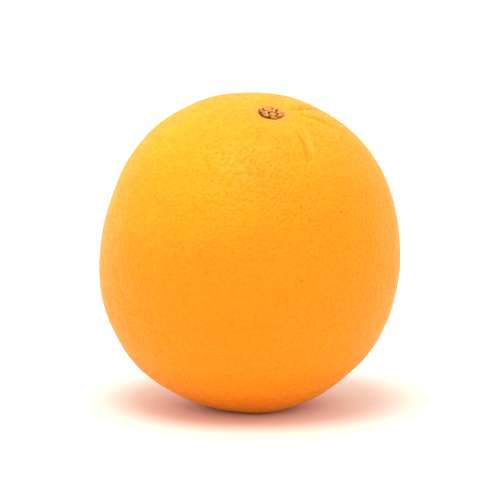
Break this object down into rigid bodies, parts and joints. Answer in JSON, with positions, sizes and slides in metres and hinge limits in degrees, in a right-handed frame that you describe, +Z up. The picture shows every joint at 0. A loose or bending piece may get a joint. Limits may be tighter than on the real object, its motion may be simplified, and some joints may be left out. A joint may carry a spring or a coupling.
{
  "type": "orange",
  "caption": "Whole fresh orange, slightly longer than wide, with a dry calyx button in the hollow of its stem end, lying on a small flat spot with the stem end leaning forward.",
  "frame": {"origin": "middle of the flat spot that the fruit rests on", "axes": "+Z up, -Y towards the viewer, +X to the viewer's right; the stem end leans from +Z by 19 degrees towards -Y and 8 degrees towards +X"},
  "size_m": [0.0753, 0.0771, 0.0791],
  "materials": {
    "orange_peel": "satin",
    "dry_calyx": "matte"
  },
  "bodies": {
    "root": {"fruit": "orange_peel", "calyx_button": "dry_calyx"}
  },
  "joints": []
}
